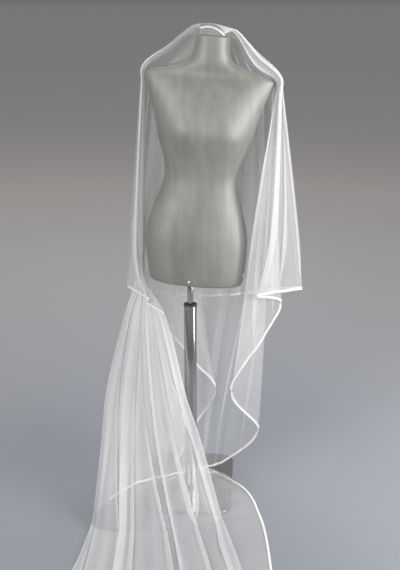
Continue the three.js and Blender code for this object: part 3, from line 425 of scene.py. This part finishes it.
def sheet_grid(rows, lines, shares, opened, places, pleats):
    """Points of a stretch of cloth by place and level, and how densely its net is seen from outside."""
    spans = len(rows) - 1
    levels = lines.shape[1]
    taken, out = pleated(places, shares, pleats)
    taken = np.clip(taken, places[0], places[-1])
    span = np.minimum(taken.astype(int), spans - 1)
    folds = np.array([row["folds"] for row in rows])[span]
    depth = np.array([row["depth"] for row in rows])[span]
    steps = np.linalg.norm(np.diff(lines, axis=0), axis=2)
    full = steps[:, -1:].clip(8)
    points = np.empty(taken.shape + (3,))
    base = np.empty_like(points)
    widths = np.empty_like(taken)
    for level in range(levels):
        share = taken[:, level] / spans
        line = lines[:, level]
        here = spline(line, share)
        along = spline(line, share + SLOPE_STEP) - spline(line, share - SLOPE_STEP)
        below = spline(lines[:, min(levels - 1, level + 1)], share)
        above = spline(lines[:, max(0, level - 1)], share)
        outward = unit(np.cross(along, below - above))
        width = steps[span[:, level], level]
        wave = WAVE_SHARE * np.sin(2 * np.pi * folds[:, level] * (taken[:, level] - span[:, level]))
        steepest = FOLD_STEEP * width / np.maximum(1, folds[:, level])
        deep = np.minimum(depth[:, level] * opened[level], steepest)
        stand = out[:, level] * np.clip(width / 60, 0.1, 1)
        points[:, level] = here + outward * (deep * wave + stand)[:, None]
        base[:, level] = here
        widths[:, level] = width
    points[..., 2] = np.maximum(points[..., 2], FLOOR_LEAST)
    run = np.linalg.norm(np.gradient(points, axis=0), axis=2)
    shown = np.linalg.norm(np.gradient(base, axis=0), axis=2)
    layers = run / np.maximum(shown, 0.2 * run + 1e-6)
    gathered = np.clip(full[span, 0] / np.maximum(widths, 1), 1, 6) ** 0.5
    crowded = np.array([CROWDED.get(row["name"], 1) for row in rows], float)
    gathered *= np.interp(taken, np.arange(len(rows)), crowded)
    cover = 1 - (1 - NET_COVER) ** (layers * gathered)
    return points, cover


def make_mesh(name, points, faces, material, cover=None):
    """A smooth mesh in metres from points in millimetres."""
    mesh = bpy.data.meshes.new(name)
    mesh.from_pydata((np.asarray(points, float).reshape(-1, 3) * MM).tolist(), [], faces)
    mesh.polygons.foreach_set("use_smooth", [True] * len(mesh.polygons))
    mesh.materials.append(material)
    if cover is not None:
        mesh.attributes.new("cover", "FLOAT", "POINT").data.foreach_set("value", np.ravel(cover))
    mesh.update()
    piece = bpy.data.objects.new(name, mesh)
    bpy.context.scene.collection.objects.link(piece)
    return piece


def place(piece, slot, *nodes):
    """Puts a finished piece on the object in place of its plain solids."""
    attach(piece, "root")
    if nodes:
        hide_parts(*nodes)


def grid_faces(wide, tall):
    return [(i * tall + j, (i + 1) * tall + j, (i + 1) * tall + j + 1, i * tall + j + 1)
            for i in range(wide - 1) for j in range(tall - 1)]


def rings_faces(rings, steps, closed=False):
    """Faces between rings of points, each of the same number of steps."""
    faces = []
    for ring in range(rings if closed else rings - 1):
        low, high = ring * steps, (ring + 1) % rings * steps
        for step in range(steps):
            after = (step + 1) % steps
            faces.append((low + step, low + after, high + after, high + step))
    return faces


def capped(rings):
    """Points and faces of a closed body through rings, with a flat cap at each end."""
    rings = np.asarray(rings, float)
    count, steps = rings.shape[:2]
    faces = rings_faces(count, steps)
    faces.append(tuple(range(steps - 1, -1, -1)))
    faces.append(tuple(range((count - 1) * steps, count * steps)))
    return rings.reshape(-1, 3), faces


def circle(radius, height, x=0, steps=ROUND_STEPS):
    turn = np.linspace(0, 2 * np.pi, steps, endpoint=False)
    return np.stack([x + radius * np.cos(turn), radius * np.sin(turn), np.full(steps, float(height))], axis=1)


def turned(name, profile, material, x=0):
    """A round body whose profile gives radius and height, bottom to top."""
    points, faces = capped([circle(radius, height, x) for radius, height in profile])
    return make_mesh(name, points, faces, material)


def tube_along(path, radii, steps):
    """Rings round a path, one radius for each of its points."""
    path = np.asarray(path, float)
    radii = np.broadcast_to(np.asarray(radii, float), len(path))
    ahead = unit(np.gradient(path, axis=0))
    side = unit(np.cross(ahead, (0.31, 0.17, 0.94)))
    up = np.cross(side, ahead)
    turn = np.linspace(0, 2 * np.pi, steps, endpoint=False)[None, :, None]
    ring = side[:, None] * np.cos(turn) + up[:, None] * np.sin(turn)
    return path[:, None] + ring * radii[:, None, None]


def joined(bodies):
    """One list of points and faces from several."""
    points, faces, start = [], [], 0
    for part, part_faces in bodies:
        points.append(np.asarray(part, float).reshape(-1, 3))
        faces += [tuple(start + corner for corner in face) for face in part_faces]
        start += len(points[-1])
    return np.concatenate(points), faces


def new_material(name, color, roughness, metallic=0.0):
    material = bpy.data.materials.new(name)
    material.use_nodes = True
    shader = material.node_tree.nodes["Principled BSDF"]
    shader.inputs["Base Color"].default_value = (*color, 1)
    shader.inputs["Roughness"].default_value = roughness
    shader.inputs["Metallic"].default_value = metallic
    return material, material.node_tree, shader


def object_place(tree, scale):
    """Object coordinates, stretched by scale."""
    place_node = tree.nodes.new("ShaderNodeTexCoord")
    stretch = tree.nodes.new("ShaderNodeMapping")
    stretch.inputs["Scale"].default_value = scale
    tree.links.new(place_node.outputs["Object"], stretch.inputs["Vector"])
    return stretch.outputs["Vector"]


def noise(tree, scale, stretch=(1, 1, 1), detail=3.0):
    node = tree.nodes.new("ShaderNodeTexNoise")
    node.inputs["Scale"].default_value = scale
    node.inputs["Detail"].default_value = detail
    tree.links.new(object_place(tree, stretch), node.inputs["Vector"])
    return node.outputs["Fac"]


def mapped(tree, value, low, high, source=(0.3, 0.7)):
    """A value brought from its source range to the range low to high."""
    node = tree.nodes.new("ShaderNodeMapRange")
    for socket, number in zip(("From Min", "From Max", "To Min", "To Max"), (*source, low, high)):
        node.inputs[socket].default_value = number
    tree.links.new(value, node.inputs["Value"])
    return node.outputs["Result"]


def two_colors(tree, value, low, high, source=(0.3, 0.7)):
    node = tree.nodes.new("ShaderNodeValToRGB")
    node.color_ramp.elements[0].position, node.color_ramp.elements[1].position = source
    node.color_ramp.elements[0].color = (*low, 1)
    node.color_ramp.elements[1].color = (*high, 1)
    tree.links.new(value, node.inputs["Fac"])
    return node.outputs["Color"]


def raised(tree, shader, value, distance, strength=0.5):
    node = tree.nodes.new("ShaderNodeBump")
    node.inputs["Strength"].default_value = strength
    node.inputs["Distance"].default_value = distance
    tree.links.new(value, node.inputs["Height"])
    tree.links.new(node.outputs["Normal"], shader.inputs["Normal"])


def tulle_material():
    """Sheer net: its holes are about a millimetre across, and gathered cloth covers more."""
    material, tree, shader = new_material("tulle", (0.76, 0.755, 0.75), 0.75)
    shader.inputs["Sheen Weight"].default_value = 0.35
    shader.inputs["Sheen Roughness"].default_value = 0.4
    shade = two_colors(tree, noise(tree, 5.0), (0.82, 0.82, 0.825), (0.9, 0.89, 0.875))
    tree.links.new(shade, shader.inputs["Base Color"])
    cells = tree.nodes.new("ShaderNodeTexVoronoi")
    cells.feature = "DISTANCE_TO_EDGE"
    cells.inputs["Scale"].default_value = 700.0
    tree.links.new(object_place(tree, (1, 1, 1)), cells.inputs["Vector"])
    threads = mapped(tree, cells.outputs["Distance"], 1.25, 0.85, (0.0, 0.25))
    cover = tree.nodes.new("ShaderNodeAttribute")
    cover.attribute_name = "cover"
    alpha = tree.nodes.new("ShaderNodeMath")
    alpha.operation = "MULTIPLY"
    alpha.use_clamp = True
    tree.links.new(cover.outputs["Fac"], alpha.inputs[0])
    tree.links.new(threads, alpha.inputs[1])
    tree.links.new(alpha.outputs["Value"], shader.inputs["Alpha"])
    raised(tree, shader, cells.outputs["Distance"], 0.0002, 0.2)
    return material


def satin_material():
    """Ivory satin ribbon with fine warp threads."""
    material, tree, shader = new_material("satin_ribbon", (0.9, 0.87, 0.82), 0.38)
    shader.inputs["Sheen Weight"].default_value = 0.3
    shader.inputs["Specular IOR Level"].default_value = 0.6
    shade = two_colors(tree, noise(tree, 60.0), (0.88, 0.85, 0.79), (0.96, 0.94, 0.90))
    tree.links.new(shade, shader.inputs["Base Color"])
    fine = noise(tree, 900.0, (1, 1, 0.4), 1.0)
    tree.links.new(mapped(tree, fine, 0.3, 0.46), shader.inputs["Roughness"])
    raised(tree, shader, fine, 0.0003, 0.4)
    return material


def silver_material():
    """Brushed silver lacquer with long faint streaks, dull patches and a few pits."""
    material, tree, shader = new_material("silver", (0.4, 0.4, 0.36), 0.52, 0.3)
    streaks = noise(tree, 26.0, (1.6, 1.6, 0.06), 5.0)
    patches = noise(tree, 6.0, (1, 1, 0.5), 3.0)
    blend = tree.nodes.new("ShaderNodeMath")
    blend.operation = "MULTIPLY_ADD"
    blend.inputs[1].default_value = 0.55
    tree.links.new(streaks, blend.inputs[0])
    halved = mapped(tree, patches, 0.08, 0.38)
    tree.links.new(halved, blend.inputs[2])
    shade = two_colors(tree, blend.outputs["Value"], (0.235, 0.24, 0.215), (0.34, 0.345, 0.315), (0.32, 0.72))
    pits = tree.nodes.new("ShaderNodeTexVoronoi")
    pits.inputs["Scale"].default_value = 11.0
    tree.links.new(object_place(tree, (1, 1, 1)), pits.inputs["Vector"])
    darken = tree.nodes.new("ShaderNodeMix")
    darken.data_type = "RGBA"
    darken.blend_type = "MULTIPLY"
    tree.links.new(mapped(tree, pits.outputs["Distance"], 1, 0, (0.03, 0.05)), darken.inputs["Factor"])
    tree.links.new(shade, darken.inputs["A"])
    darken.inputs["B"].default_value = (0.45, 0.42, 0.4, 1)
    tree.links.new(darken.outputs["Result"], shader.inputs["Base Color"])
    tree.links.new(mapped(tree, patches, 0.48, 0.6), shader.inputs["Roughness"])
    raised(tree, shader, streaks, 0.0006, 0.25)
    return material


def chrome_material():
    material, tree, shader = new_material("chrome", (0.5, 0.49, 0.49), 0.1, 1.0)
    smudges = noise(tree, 14.0, (1, 1, 0.3), 4.0)
    shade = two_colors(tree, smudges, (0.46, 0.45, 0.45), (0.54, 0.53, 0.53))
    tree.links.new(shade, shader.inputs["Base Color"])
    tree.links.new(mapped(tree, smudges, 0.07, 0.16), shader.inputs["Roughness"])
    return material


def plain_material(name, low, high, roughness, scale):
    """Moulded plastic: a quiet colour with a little unevenness."""
    material, tree, shader = new_material(name, low, roughness)
    grain = noise(tree, scale)
    tree.links.new(two_colors(tree, grain, low, high), shader.inputs["Base Color"])
    raised(tree, shader, grain, 0.0003, 0.15)
    return material


TULLE = tulle_material()
SATIN = satin_material()
SILVER = silver_material()
CHROME = chrome_material()
DARK = plain_material("dark_plastic", (0.05, 0.035, 0.03), (0.09, 0.07, 0.06), 0.35, 90.0)
# The comb's pearl is darkened to a dull grey as painted shade, so its teeth read as the shadow under the
# comb's arch
PEARL_AND_SHADE = plain_material("pearl", (0.46, 0.44, 0.40), (0.56, 0.54, 0.50), 0.3, 120.0)
PEARL_AND_SHADE.node_tree.nodes["Principled BSDF"].inputs["Alpha"].default_value = 0.4
STUD = plain_material("stud", (0.78, 0.78, 0.76), (0.86, 0.86, 0.84), 0.25, 150.0)


def floor_material():
    """Plain grey floor with painted light: its colour grows paler and a little warmer far from the object,
    making up for the lamps' light falling off over the far floor.
    """
    material, tree, shader = new_material("floor", (0.29, 0.3, 0.32), 0.75)
    painted_light_distance = tree.nodes.new("ShaderNodeVectorMath")
    painted_light_distance.operation = "LENGTH"
    tree.links.new(object_place(tree, (1, 1, 1)), painted_light_distance.inputs[0])
    # Painted light: the floor's colour brightens with distance, standing in for light that the lamps don't
    # send that far
    far = mapped(tree, painted_light_distance.outputs["Value"], 0.0, 1.0, (0.7, 5.0))
    shade = two_colors(tree, far, (0.25, 0.262, 0.285), (0.6, 0.56, 0.53), (0.0, 1.0))
    tree.links.new(shade, shader.inputs["Base Color"])
    raised(tree, shader, noise(tree, 300.0), 0.0003, 0.3)
    return material


FLOOR = floor_material()


def form_ring(height, half, front, back, aside):
    """One section of the form as a ring of points in the row frame."""
    turn = np.linspace(0, 2 * np.pi, FORM_STEPS, endpoint=False)
    power = 2 / FORM_SQUARENESS
    across = np.sign(np.cos(turn)) * np.abs(np.cos(turn)) ** power
    along = np.sign(np.sin(turn)) * np.abs(np.sin(turn)) ** power
    x = half * across
    up = (height - BUST_HEIGHT) / BUST_SPREAD
    side = (np.abs(x) - BUST_SIDE) / BUST_SPREAD
    bust = np.where(along < 0, BUST_DEPTH * -along * np.exp(-up * up - side * side), 0)
    y = np.where(along < 0, front, back) * along - bust
    return on_form(x + aside, y, height)


def make_torso():
    keys = ("height", "half", "front", "back", "aside")
    sections = np.array([[row[key] for key in keys] for row in FORM_SECTIONS], float)
    shares = np.linspace(0, 1, SECTION_STEPS * (len(sections) - 1) + 1)
    smooth = spline(sections, shares)
    smooth[1:-1, 0] = np.clip(smooth[1:-1, 0], sections[0, 0] + 1, FORM_HEIGHT - 1)
    edge = FORM_EDGE
    bore = ROD_RADIUS + GAP
    turn = np.linspace(0, 2 * np.pi, FORM_STEPS, endpoint=False)
    foot = FORM_LIFT + sections[0, 0]
    mouth = np.stack([POLE_X + bore * np.cos(turn), bore * np.sin(turn), np.full(FORM_STEPS, foot + 0.5)], 1)
    top = mouth + (0, 0, SOCKET_DEPTH - sections[0, 0])

    def eased(section, inset, raised):
        height, half, front, back, aside = section
        return form_ring(height + raised, half - inset, front - inset, back - inset, aside)

    bottom, neck = smooth[0], smooth[-1]
    rings = [top, mouth, eased(bottom, 2 * edge, 0), eased(bottom, 0.4 * edge, 0.4 * edge)]
    rings += [form_ring(*section) for section in smooth[1:-1]]
    rings += [eased(neck, 0, -edge), eased(neck, 0.4 * edge, -0.3 * edge), eased(neck, 2 * edge, 0)]
    rings.append(form_ring(FORM_HEIGHT, 6, 6, 6, 0))
    points, faces = capped(rings)
    place(make_mesh("form_torso", points, faces, SILVER), "silver", "torso")


def make_stand():
    outline = []
    for inset, height in ((1.5, 0), (0.4, 0.4), (0, 1.5), (0, 7.5), (0.4, 8.6), (1.5, PLATE_THICK)):
        ring = []
        for corner, (right, back) in enumerate(((1, 1), (-1, 1), (-1, -1), (1, -1))):
            for step in range(13):
                turn = math.pi / 2 * (corner + step / 12)
                reach = PLATE_CORNER - inset
                ring.append((right * (PLATE_WIDTH / 2 - PLATE_CORNER) + reach * math.cos(turn),
                             back * (PLATE_DEPTH / 2 - PLATE_CORNER) + PLATE_BACK + reach * math.sin(turn),
                             height))
        outline.append(ring)
    rings = np.array(outline)
    turn = math.radians(PLATE_TURN)
    x, y = rings[..., 0].copy(), rings[..., 1].copy()
    rings[..., 0] = x * math.cos(turn) - y * math.sin(turn) + POLE_X
    rings[..., 1] = x * math.sin(turn) + y * math.cos(turn)
    points, faces = capped(rings)
    plate = make_mesh("plate", points, faces, CHROME)
    for face in plate.data.polygons:
        face.use_smooth = len(face.vertices) < 5
    place(plate, "chrome", "base_plate")

    foot = PLATE_THICK + GAP
    tube = turned("tube", [(TUBE_RADIUS - 0.5, foot), (TUBE_RADIUS, foot + 0.5), (TUBE_RADIUS, foot + 20),
                           (TUBE_RADIUS, TUBE_TOP - 1), (TUBE_RADIUS - 0.4, TUBE_TOP - 0.2),
                           (TUBE_RADIUS - 1.5, TUBE_TOP)], CHROME, POLE_X)
    place(tube, "chrome", "stand_tube")
    lip = TUBE_TOP + GAP
    bore = ROD_RADIUS + GAP
    section = [(bore, lip), (COLLAR_RADIUS - 0.6, lip), (COLLAR_RADIUS, lip + 0.6),
               (COLLAR_RADIUS, lip + COLLAR_LIP - 1.8), (COLLAR_RADIUS - 0.7, lip + COLLAR_LIP - 0.5),
               (COLLAR_RADIUS - 2, lip + COLLAR_LIP), (bore, lip + COLLAR_LIP)]
    rings = np.array([circle(radius, height, POLE_X) for radius, height in section])
    collar = make_mesh("collar", rings, rings_faces(len(rings), ROUND_STEPS, True), DARK)
    place(collar, "dark_plastic", "stand_collar")
    rod_top = FORM_LIFT + SOCKET_DEPTH - GAP
    rod = turned("rod", [(ROD_RADIUS, lip), (ROD_RADIUS, lip + 10), (ROD_RADIUS, rod_top - 1),
                         (ROD_RADIUS - 1, rod_top)], CHROME, POLE_X)
    place(rod, "chrome", "stand_rod")
    for node in ("stud_middle", "stud_side"):
        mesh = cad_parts[node].data
        mesh.materials.clear()
        mesh.materials.append(STUD)


def make_comb():
    """The arched spine with its teeth, and the thread that whips the gathered tulle to it."""
    arch = np.array([comb_point(share) for share in np.linspace(0, 1, COMB_STEPS)])
    bodies = [capped(tube_along(arch, COMB_SPINE / 2, 12))]
    seat = FORM_HEIGHT + COMB_TOOTH + GAP
    for tooth in range(COMB_TEETH):
        share = (tooth + 0.5) / COMB_TEETH
        x = COMB_CENTRE + COMB_HALF * (2 * share - 1)
        places = [comb_point(share), on_form(x, COMB_FRONT + 4, seat + 3),
                  on_form(x, COMB_FRONT + 12, seat), on_form(x, COMB_FRONT + 27, seat)]
        path = spline(places, np.linspace(0, 1, TOOTH_STEPS))
        bodies.append(capped(tube_along(path, COMB_TOOTH * np.linspace(1, 0.55, TOOTH_STEPS), 8)))
    place(make_mesh("comb_arch", *joined(bodies), PEARL_AND_SHADE), "pearl", "comb")

    band = np.array([comb_point(share, *BINDING_OFFSET) for share in np.linspace(0.005, 0.995, COMB_STEPS)])
    binding = make_mesh("comb_binding", *capped(tube_along(band, BINDING_RADIUS, 14)), SATIN)
    place(binding, "satin_ribbon")

    shares = np.linspace(0.01, 0.99, WHIPPING_TURNS * WHIPPING_STEPS)
    middle = np.array([comb_point(share, *BINDING_OFFSET) for share in shares])
    angle = shares * WHIPPING_TURNS * 2 * np.pi
    ahead = unit(np.gradient(middle, axis=0))
    side = unit(np.cross(ahead, (0, 0, 1)))
    up = np.cross(side, ahead)
    path = middle + WHIPPING_RADIUS * (side * np.cos(angle)[:, None] + up * np.sin(angle)[:, None])
    points, faces = capped(tube_along(path, WHIPPING_THREAD, 5))
    whipping = make_mesh("comb_whipping", points, faces, SATIN)
    place(whipping, "satin_ribbon")


def make_ribbon(name, points, node):
    """Satin ribbon folded over the cloth's lower edge, as a closed strip with a slightly raised middle."""
    hem, above = points[:, -1], points[:, -3]
    run = unit(np.gradient(hem, axis=0))
    up = above - hem
    up = unit(up - run * np.sum(up * run, axis=1, keepdims=True))
    smooth = np.ones(5) / 5
    padded = np.pad(up, ((2, 2), (0, 0)), mode="edge")
    up = unit(np.stack([np.convolve(padded[:, axis], smooth, "valid") for axis in range(3)], axis=1))
    face = unit(np.cross(run, up))
    half = RIBBON_THICK / 2
    section = ((-0.3, -0.35), (0, -half), (RIBBON_WIDTH / 2, -1.25 * half), (RIBBON_WIDTH, -half),
               (RIBBON_WIDTH, half), (RIBBON_WIDTH / 2, 1.25 * half), (0, half), (-0.3, 0.35))
    rings = np.stack([hem + up * along + face * out for along, out in section], axis=1)
    rings[..., 2] = np.maximum(rings[..., 2], 0.1)
    piece = make_mesh(name, *capped(rings), SATIN)
    place(piece, "satin_ribbon", node)
    return piece


def make_sheet(nodes, points, cover, ribbon):
    """A stretch of tulle with the ribbon along its lower edge."""
    wide, tall = points.shape[:2]
    piece = make_mesh("tulle_" + nodes[0], points, grid_faces(wide, tall), TULLE, cover)
    place(piece, "tulle", *nodes)
    trims = [make_ribbon("satin_" + ribbon[len("ribbon_"):], points, ribbon)] if ribbon else []
    return piece


def places_between(first, last):
    return np.linspace(first, last, int(round((last - first) * SPAN_STEPS)) + 1)


def make_veil():
    shares = level_shares()
    opened = 0.1 + 0.9 * smoothstep(shares, 0.1, 0.9)
    lines = np.array([hanging_line(row) for row in VEIL_FOLDS])
    swath = [dict(pleat, at=pleat["at"] + SWATH_FROM, foot=pleat["foot"] + SWATH_FROM)
             for pleat in SWATH_PLEATS]
    pleats = UPPER_PLEATS + LOWER_PLEATS + swath
    places = places_between(0, len(VEIL_FOLDS) - 1)
    points, cover = sheet_grid(VEIL_FOLDS, lines, shares, opened, places, pleats)
    in_swath = smoothstep(places, SWATH_FROM - 0.8, SWATH_FROM + 0.4)[:, None]
    cover = 1 - (1 - cover) ** (1 + SWATH_DENSER * in_swath * smoothstep(shares, 0.4, 0.95))
    for stretch in STRETCHES:
        first, last = (int(round(stretch[key] * SPAN_STEPS)) for key in ("first", "last"))
        part = slice(first, last + 1)
        nodes = [stretch[key] for key in ("node", "top") if key in stretch]
        make_sheet(nodes, points[part], cover[part], stretch["ribbon"])

    flap = np.array([hanging_line(row) for row in FLAP_FOLDS])
    places = places_between(0, len(FLAP_FOLDS) - 1)
    flap_points, flap_cover = sheet_grid(FLAP_FOLDS, flap, shares, opened, places, FLAP_PLEATS)
    make_sheet(["flap_left"], flap_points, flap_cover, "ribbon_flap_left")
    make_train(points)


def make_train(hung):
    """What of the long tier lies on the floor: it goes on from the swath's lower edge."""
    shares = np.linspace(0, 1, DROP_STEPS + 1)
    lines = np.array([floor_line(row) for row in TRAIN_FOLDS])
    spans = len(TRAIN_FOLDS) - 1
    places = places_between(0, spans)
    pleats = [dict(pleat, at=pleat["foot"], top=-1, bottom=1.15 if pleat["bottom"] > 1 else -0.5)
              for pleat in SWATH_PLEATS]
    points, cover = sheet_grid(TRAIN_FOLDS, lines, shares, 1 - 0.8 * shares, places, pleats)
    start = SWATH_FROM * SPAN_STEPS
    edge = hung[start:start + len(places), -1]
    ease = (1 - smoothstep(shares, 0, 0.2))[None, :, None]
    points = points + (edge - points[:, 0])[:, None] * ease
    points[..., 2] = np.maximum(points[..., 2], FLOOR_LEAST)
    cover = 1 - (1 - cover) ** TRAIN_DENSER
    make_sheet(["train"], points, cover, "ribbon_train_end")

    shares = np.linspace(0, 1, SIDE_STEPS)
    rows = [spline([row[key] for key in ("inner", "crest", "edge")], shares) for row in SIDE_PLACES]
    lines = np.array(rows[::-1])
    along = np.linspace(0, 1, SIDE_STEPS * (len(rows) - 1) + 1)
    points = np.stack([spline(lines[:, level], along) for level in range(SIDE_STEPS)], axis=1)
    ripple = np.sin(along * 2 * np.pi * SIDE_RIPPLES)[:, None] * np.sin(shares * np.pi)[None]
    points[..., 2] = np.maximum(points[..., 2] + SIDE_RIPPLE_HEIGHT * ripple, FLOOR_LEAST)
    cover = np.full(points.shape[:2], NET_COVER * SIDE_DENSER)
    make_sheet(["train_side"], points, cover, "ribbon_train_side")


def make_view():
    camera = bpy.data.cameras.new("view")
    camera.lens = VIEW_LENS
    camera.sensor_fit = "VERTICAL"
    camera.sensor_height = VIEW_SENSOR
    holder = bpy.data.objects.new("view", camera)
    holder.location = VIEW_PLACE
    holder.rotation_euler = (math.radians(90 - VIEW_DOWN), 0, 0)
    bpy.context.scene.collection.objects.link(holder)
    bpy.context.scene.camera = holder


def add_light(name, where, towards, size, power, color=(1, 1, 1)):
    light = bpy.data.lights.new(name, "AREA")
    light.shape = "RECTANGLE"
    light.size, light.size_y = size
    light.energy = power
    light.color = color
    holder = bpy.data.objects.new(name, light)
    holder.location = where
    holder.rotation_euler = (Vector(towards) - Vector(where)).to_track_quat("-Z", "Y").to_euler()
    bpy.context.scene.collection.objects.link(holder)


def make_studio():
    edges = ((-FLOOR_REACH, -FLOOR_DROP), (FLOOR_REACH, -FLOOR_DROP), (FLOOR_FAR, FLOOR_RISE))
    corners = [(side * FLOOR_REACH, back, level) for back, level in edges for side in (-1, 1)]
    floor = make_mesh("floor", corners, [(0, 1, 3, 2), (2, 3, 5, 4)], FLOOR)
    add_light("key", (-2.4, -3.0, 2.6), (0, 0, 0.8), (3.0, 2.6), 110, (1, 0.985, 0.96))
    add_light("strip", (1.6, -0.5, 1.3), (0, 0, 1.0), (0.4, 1.8), 26)
    add_light("fill", (2.8, -2.6, 2.2), (0, 0, 0.5), (2.4, 2.0), 45, (0.93, 0.96, 1))
    add_light("above", (0.2, 1.4, 3.6), (0, 0, 0.7), (2.2, 1.4), 50)
    world = bpy.data.worlds.new("studio")
    world.use_nodes = True
    sky = world.node_tree.nodes["Background"]
    sky.inputs["Color"].default_value = (0.78, 0.8, 0.84, 1)
    sky.inputs["Strength"].default_value = 0.4
    bpy.context.scene.world = world
    bpy.context.scene.view_settings.view_transform = "Standard"
    bpy.context.scene.cycles.transparent_max_bounces = 32


make_view()
make_torso()
make_stand()
make_comb()
make_veil()
make_studio()
